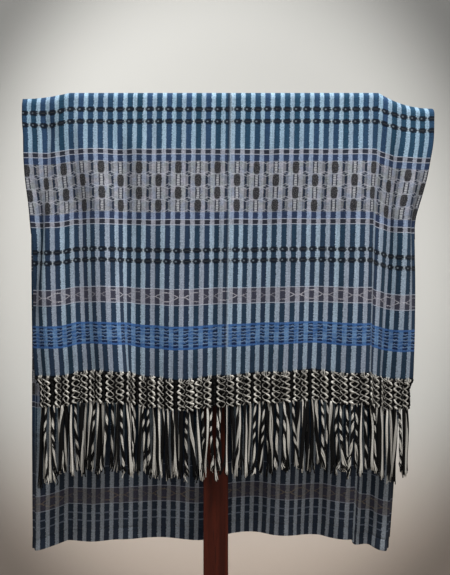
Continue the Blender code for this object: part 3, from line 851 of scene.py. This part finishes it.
def ring_cords(hang, places, yarns, random):
    """Two columns of rings in each group: mirrored waves, half sine and half zigzag, that cross
    between the knots. The outer side of each ring is thicker and paler; the inner side and some stretches are
    darker, partly black yarn in the mix and partly painted shade."""
    steps = 61
    share = np.linspace(-0.03, 1.02, steps)
    late = random.normal(0, 0.11, (KNOT_GROUPS, 1))
    broad = random.uniform(0.82, 1.12, (KNOT_GROUPS, 1))
    centres, radii, tone = [], [], []
    for column, (place, phase) in enumerate(RING_COLUMNS):
        for way in (-1, 1):
            turn = math.pi * (share * KNOT_ROWS + phase + late)
            sway = way * (0.45 * np.sin(turn) + 0.55 * np.arcsin(np.sin(turn) * 0.98) / (math.pi / 2))
            outer = smooth(-0.2, 0.6, sway * np.sign(place))
            wide = RING_HALF_WIDTH * broad * random.uniform(0.9, 1.1, (KNOT_GROUPS, 1))
            uneven = random.normal(0, 0.034, (KNOT_GROUPS, steps))
            stripe = places[:, column:column + 1] + sway * wide + uneven
            drawn = 0.9 * MM * np.sin(share * 17 + late * 40 + column * 2)
            path = -FRONT_PATH - share * KNOT_BAND + drawn
            out = 2.9 * MM + way * np.cos(turn) * 1.1 * MM + np.abs(sway) * 0.7 * MM
            centres.append(hang.at(stripe, path, out))
            thick = random.uniform(0.85, 1.2, (KNOT_GROUPS, 1))
            radii.append((0.80 + 0.65 * outer) * thick * MM)
            half_row = np.floor(2 * (share * KNOT_ROWS + phase) + 0.5).astype(int)
            half_row = np.clip(half_row, 0, 2 * KNOT_ROWS + 1)
            # Darker tones on the inner sides and on some stretches: partly black yarn in the mix, partly
            # painted shade.
            shown = random.choice([0.0, 0.45, 1.0], (KNOT_GROUPS, 2 * KNOT_ROWS + 2), p=[0.22, 0.33, 0.45])
            shown = shown[:, half_row]
            tone.append(outer * (0.22 + 0.60 * shown) + (1 - outer) * (0.04 + 0.28 * shown))
    return add_cords("fringe_rings", np.concatenate(centres), np.concatenate(radii), 6, yarns[:1],
                     np.concatenate(tone), np.zeros(4 * KNOT_GROUPS, int))


def hem_cords(hang, places, yarns, random):
    """Each pale stripe's warp, gathered at the hem into two white strands that run to the nearest rings."""
    start = np.repeat((np.arange(STRIPES) + 0.75) * STRIPES / (STRIPES + 0.5), 2)
    columns = places.ravel()
    target = columns[np.abs(columns[None, :] - start[:, None]).argmin(axis=1)]
    count = len(start)
    share = np.linspace(0, 1, 9)
    apart = np.tile([-0.13, 0.13], STRIPES)[:, None] * (1 - 0.4 * share)
    reach = (target - start)[:, None] * smooth(0.25, 1.0, share) + random.normal(0, 0.03, (count, 1)) * share
    stripe = start[:, None] + apart + reach
    path = -FRONT_PATH + (4.0 - share * (9.0 + random.uniform(0, 4, (count, 1)))) * MM
    out = (2.2 + 1.4 * np.sin(math.pi * share) + 0 * path / MM) * MM
    radii = np.broadcast_to((0.75 + 0.35 * share) * MM, (count, 9)) * random.uniform(0.8, 1.15, (count, 1))
    return add_cords("hem_cords", hang.at(stripe, path, out), radii, 5, yarns[:1],
                     random.uniform(0.0, 0.65, count), np.zeros(count, int))


def knots(hang, places, yarns, random):
    """Black knots: ovals in the rings, in the slits between groups and between a group's two columns."""
    pitch = KNOT_BAND / KNOT_ROWS
    stripe = np.repeat(places.ravel(), KNOT_ROWS)
    rows = np.arange(KNOT_ROWS) + np.array([[[0.5], [1.0]]]) + np.zeros((KNOT_GROUPS, 1, 1))
    level = rows.ravel() * pitch
    slits = np.concatenate([[0.0], (places[1:, 0] + places[:-1, 1]) / 2, [STRIPES]])
    gap_stripe = np.repeat(slits, 2 * KNOT_ROWS)
    gap_level = np.tile(np.arange(2 * KNOT_ROWS) + 0.5, KNOT_GROUPS + 1) * pitch / 2
    middle_stripe = np.repeat(places.mean(axis=1), 2 * KNOT_ROWS)
    middle_level = np.tile(np.arange(2 * KNOT_ROWS) + 0.2, KNOT_GROUPS) * pitch / 2
    stripe = np.concatenate([stripe, gap_stripe, middle_stripe])
    level = np.concatenate([level, gap_level, middle_level])
    count = len(stripe)
    stripe = stripe + random.normal(0, 0.03, count)
    level = np.minimum(level, KNOT_BAND - 1 * MM)
    along = np.linspace(-1, 1, 7)
    half = 3.7 * MM * random.uniform(0.85, 1.1, (count, 1))
    path = -FRONT_PATH - level[:, None] - along * half
    out = 2.4 * MM + 0.6 * MM * (1 - along**2) + 0 * path
    bulge = 2.2 * MM * np.sqrt(1 - (along * 0.97) ** 2) * (1 + 0.10 * np.sin(along * 14 + stripe[:, None]))
    bulge = bulge * random.uniform(0.8, 1.1, (count, 1))
    return add_cords("fringe_knots", hang.at(stripe[:, None] + 0.03 * np.sin(along * 6), path, out), bulge, 6,
                     yarns[1:], random.uniform(0, 0.8, count), np.zeros(count, int), flatten=0.8)


def band_ground(hang, yarns):
    """The black yarn behind the knots, one rough sheet with a thickness."""
    stripes = np.linspace(0, STRIPES, 253)
    levels = np.linspace(0.0005, KNOT_BAND - 0.0005, 30)
    stripe, level = np.meshgrid(stripes, levels)
    rough = 0.4 * MM * np.sin(stripe * 11) * np.sin(level / MM * 1.7 + stripe * 3)
    points = hang.at(stripe, -FRONT_PATH - level, 1.1 * MM + rough)[::-1]
    faces = grid_faces(*points.shape[:2])
    flat = np.stack([stripe * 4, level[::-1] / MM], -1).reshape(-1, 2)
    ground = add_piece("fringe_ground", points.reshape(-1, 3), faces, [yarns[1]], uv=flat[faces],
                       tone=np.full(points[..., 0].size, 0.1))
    wall = ground.modifiers.new("cloth_thickness", "SOLIDIFY")
    wall.thickness = 1.0 * MM
    wall.offset = -1
    return ground


# A lock's yarns lie round its middle: the pale ones first, half_width mm out, and the dark ones
# dark_out times as far. Each is yarn_radius mm thick, and they splay times as far apart at the tip.
LockKind = namedtuple("LockKind", (
    "name", "yarns", "pale", "sides", "steps", "fewest_turns", "most_turns",
    "half_width", "dark_out", "yarn_radius", "dark_thicker", "splay"))
CREAM_LOCK = LockKind("cream", 11, 6, 5, 22, 0.2, 0.9, 1.20, 2.2, 0.90, 1.30, 3.0)
PLIED_LOCK = LockKind("plied", 9, 4, 5, 46, 3.5, 7.0, 1.35, 1.3, 0.97, 1.20, 2.4)
BLACK_LOCK = LockKind("black", 12, 4, 4, 18, 0.3, 1.5, 2.80, 1.0, 0.90, 1.35, 1.0)
HIDDEN_LOCK = LockKind("hidden", 5, 1, 4, 16, 0.5, 1.5, 1.50, 1.0, 1.00, 1.20, 1.4)


def locks(hang, name, yarns, random, kind, places, top, out, length):
    """Locks of yarn: each yarn is a helix round a swaying middle, and they splay at the tips."""
    count, each, steps = len(places), kind.yarns, kind.steps
    share = np.linspace(0, 1, steps)[None, None, :]

    def spread(low, high):
        return random.uniform(low, high, (count, 1, 1))

    own = random.uniform(-1, 1, (count, each, 1))
    number = np.arange(each)[None, :, None]
    pale = number < kind.pale
    twist = spread(kind.fewest_turns, kind.most_turns) * np.sign(spread(-1, 1)) * 2 * math.pi
    wound = share - 0.3 * share**2 + 0.03 * np.sin(share * 11 + spread(0, 6))
    angle = number / each * 2 * math.pi + spread(0, 2 * math.pi) + twist * wound + own * 0.3
    open_out = 0.65 + 0.35 * np.sin(math.pi * share**0.6) + (kind.splay * spread(0.2, 1.0)) * share**5
    round_out = kind.half_width * np.where(pale, 1.0, kind.dark_out) * MM * (open_out + own * 0.15)
    sway = (spread(-1, 1) * 6.0 * share**1.7 + spread(-1, 1) * 2.2 * np.sin(math.pi * share * 1.6)) * MM
    stray = own * (0.8 * np.sin(share * 5 + own * 9) * share + 2.6 * share**4) * MM
    reach = length[:, None, None] * (1 + random.normal(0, 0.025, (count, each, 1)))
    stripe = places[:, None, None] + (round_out * np.cos(angle) + sway + stray) / STRIPE
    settle = 0.35 + 0.65 * smooth(0, 0.4, share)
    forward = out[:, None, None] * settle + round_out * np.sin(angle) * 0.8 - np.where(pale, 0.0, 0.5 * MM)
    path = top - share * reach
    centres = hang.at(stripe, path + 0 * stripe, forward + 0 * stripe).reshape(count * each, steps, 3)
    thick = random.uniform(0.8, 1.2, (count, each, 1)) * (1.1 - 0.3 * share**2) * kind.yarn_radius * MM
    thick = thick * np.where(pale, 1.0, kind.dark_thicker)
    radii = np.broadcast_to(thick, (count, each, steps)).reshape(count * each, steps)
    slot = np.where(np.tile(np.arange(each) < kind.pale, count), 0, 1)
    tone = np.repeat(random.uniform(0, 1, count), each) * 0.45 + random.uniform(0.12, 0.55, count * each)
    return add_cords(name, centres, radii, kind.sides, yarns, tone, slot)


def front_fringe(yarns):
    """The knotted band and its locks on the visible end."""
    random = np.random.default_rng(11)
    hang = Hang(-FRONT_PATH - KNOT_BAND - LOCK_LENGTH * 1.4, -FRONT_PATH + 0.008, -FRONT_PATH,
                GATHERED_LEFT, GATHERED_RIGHT)
    middles = 2 * np.arange(KNOT_GROUPS)[:, None] + 1 + random.normal(0, 0.10, (KNOT_GROUPS, 1))
    apart = random.uniform(0.88, 1.12, (KNOT_GROUPS, 1))
    ring_places = middles + apart * np.array([[place for place, _ in RING_COLUMNS]])
    black = knots(hang, ring_places, yarns, random)
    pieces = [black, ring_cords(hang, ring_places, yarns, random),
              hem_cords(hang, ring_places, yarns, random), band_ground(hang, yarns)]
    count = 2 * STRIPES
    number = np.arange(count)
    before = number % 2 == 0
    places = (number + np.where(before, 0.5, 0.4)) / 2 + random.normal(0, 0.06, count)
    corner = np.clip(1 - number / 5, 0, 1)
    length = LOCK_LENGTH * random.uniform(0.92, 1.04, count) + corner * CORNER_LONGER
    length = length * np.where(before, 1.0, 0.96)
    draw = random.random(count) + np.where(before, 0.0, 0.34)
    cream = draw < 0.52
    black_only = draw >= 0.92
    kinds = ((CREAM_LOCK, cream), (PLIED_LOCK, ~(cream | black_only)), (BLACK_LOCK, black_only))
    out = np.where(before, 5.6, 1.8) * MM
    for kind, chosen in kinds:
        pieces.append(locks(hang, "fringe_locks_" + kind.name, yarns, random, kind, places[chosen],
                            -FRONT_PATH - KNOT_BAND + 2 * MM, out[chosen], length[chosen]))
    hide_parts("front_fringe")
    return pieces


def hidden_fringe(yarns):
    """The plain fringe of the hidden end, which hangs behind the front of the cloth."""
    random = np.random.default_rng(12)
    hang = Hang(-HIDDEN_PATH - KNOT_BAND - LOCK_LENGTH * 1.2, -HIDDEN_PATH + 0.006, -HIDDEN_PATH)
    count = STRIPES
    length = (KNOT_BAND + LOCK_LENGTH) * random.uniform(0.93, 1.02, count)
    piece = locks(hang, "hidden_locks", yarns, random, HIDDEN_LOCK, np.arange(count) + 0.5, -HIDDEN_PATH,
                  np.full(count, -3.6 * MM), length)
    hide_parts("hidden_fringe")
    return piece


# The stage

WALL_Y = 0.95
CAMERA_PLACE = (0.016, -1.626, 1.0163)
LENS_MM = 58.2
SENSOR_MM = 36


def soft_light(name, place, aim, size, power):
    """A flat square lamp, turned towards its aim."""
    light = bpy.data.lights.new(name, "AREA")
    light.size = size
    light.energy = power
    lamp = bpy.data.objects.new(name, light)
    bpy.context.scene.collection.objects.link(lamp)
    lamp.location = place
    lamp.rotation_euler = (Vector(aim) - Vector(place)).to_track_quat("-Z", "Y").to_euler()


def plain_wall():
    """Pale grey wall paint with painted shade, darker in the corners, along the top except at the left
    and a little to the right; warmer low down, and clear from behind."""
    paint = Finish("wall_paint", 0.9)
    place = paint.node("ShaderNodeTexCoord", {}, {})
    split = paint.node("ShaderNodeSeparateXYZ", {}, {"Vector": place.outputs["Object"]})
    x, z = paint.value(split, "X"), paint.value(split, "Z")
    # Painted shade: darker away from the middle, along the top except at the left, and towards the right.
    far = ((x - 0.016) / 0.62) ** 2.0 + ((z - 1.02) / 0.80) ** 2.0
    colour = paint.mix(z.under(0.46, 0.28), tint(216, 215, 210), tint(218, 202, 188))
    lit = (1.0 - far.over(1.3, 0.6) * 0.70) * (1.0 - z.over(1.35, 0.45) * x.over(-0.22, 0.55) * 0.30)
    paint.feed(paint.shader.inputs["Base Color"], paint.shade(colour, lit * (0.94 - x * 0.10)))
    clear = paint.node("ShaderNodeBsdfTransparent", {}, {})
    behind = paint.node("ShaderNodeNewGeometry", {}, {})
    either = paint.node("ShaderNodeMixShader", {}, {
        0: behind.outputs["Backfacing"], 1: paint.shader.outputs["BSDF"], 2: clear.outputs["BSDF"]})
    output = paint.tree.nodes["Material Output"]
    paint.feed(output.inputs["Surface"], either.outputs["Shader"])
    return paint.material


def plain_floor():
    """Pale floor paint, a little cloudy."""
    paint = Finish("floor_paint", 0.8)
    place = paint.node("ShaderNodeTexCoord", {}, {})
    split = paint.node("ShaderNodeSeparateXYZ", {}, {"Vector": place.outputs["Object"]})
    cloud = paint.noise(2.0, X=paint.value(split, "X"), Y=paint.value(split, "Y"))
    paint.feed(paint.shader.inputs["Base Color"], paint.mix(cloud, tint(206, 200, 192), tint(214, 209, 202)))
    return paint.material


def flat_stage(name, corners, finish):
    """One flat face of the room."""
    mesh = bpy.data.meshes.new(name)
    mesh.from_pydata(corners, [], [(0, 1, 2, 3)])
    mesh.materials.append(finish)
    made = bpy.data.objects.new(name, mesh)
    bpy.context.scene.collection.objects.link(made)


def set_stage():
    """The floor, the wall, three soft lamps, the pale sky and the camera."""
    floor = [(-4, -4, 0), (4, -4, 0), (4, 4, 0), (-4, 4, 0)]
    wall = [(-3, WALL_Y, 0), (3, WALL_Y, 0), (3, WALL_Y, 3.2), (-3, WALL_Y, 3.2)]
    flat_stage("floor", floor, plain_floor())
    flat_stage("backdrop", wall, plain_wall())
    soft_light("key_light", (0.48, -0.95, 3.5), (-0.05, 0.0, 1.0), 0.6, 132)
    soft_light("fill_light", (-1.6, -2.6, 1.7), (0.0, 0.0, 0.95), 2.0, 4)
    soft_light("back_light", (0.6, 2.6, 2.3), (0.0, 0.0, 1.0), 1.6, 50)
    world = bpy.data.worlds.new("room") if not bpy.data.worlds else bpy.data.worlds[0]
    bpy.context.scene.world = world
    world.use_nodes = True
    background = world.node_tree.nodes["Background"]
    background.inputs["Color"].default_value = (0.95, 0.97, 1.0, 1.0)
    background.inputs["Strength"].default_value = 0.17
    bpy.context.scene.view_settings.view_transform = "Standard"

    camera = bpy.data.cameras.new("camera")
    camera.lens = LENS_MM
    camera.sensor_width = SENSOR_MM
    camera_object = bpy.data.objects.new("camera", camera)
    bpy.context.scene.collection.objects.link(camera_object)
    camera_object.location = CAMERA_PLACE
    camera_object.rotation_euler = (math.pi / 2, 0, 0)
    bpy.context.scene.camera = camera_object


def main():
    cloth = StripedCloth().material
    yarns = [
        yarn("cream_yarn", tint(70, 67, 62), tint(224, 220, 211), 0.03),
        yarn("black_yarn", tint(4, 4, 4), tint(16, 15, 15), 0.0),
    ]
    wood = stained_wood()
    for node in ("stand_bar", "stand_post", "stand_base"):
        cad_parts[node].material_slots[0].material = wood
    front = front_cloth(cloth)
    back = back_cloth(cloth)
    inner = inner_cloth(cloth)
    fringe = front_fringe(yarns)
    hidden = hidden_fringe(yarns)
    FRONT_PATH + JOIN
    BACK_PATH - JOIN + PAST_FOLD
    BACK_PATH + HIDDEN_PATH - PAST_FOLD
    set_stage()


main()
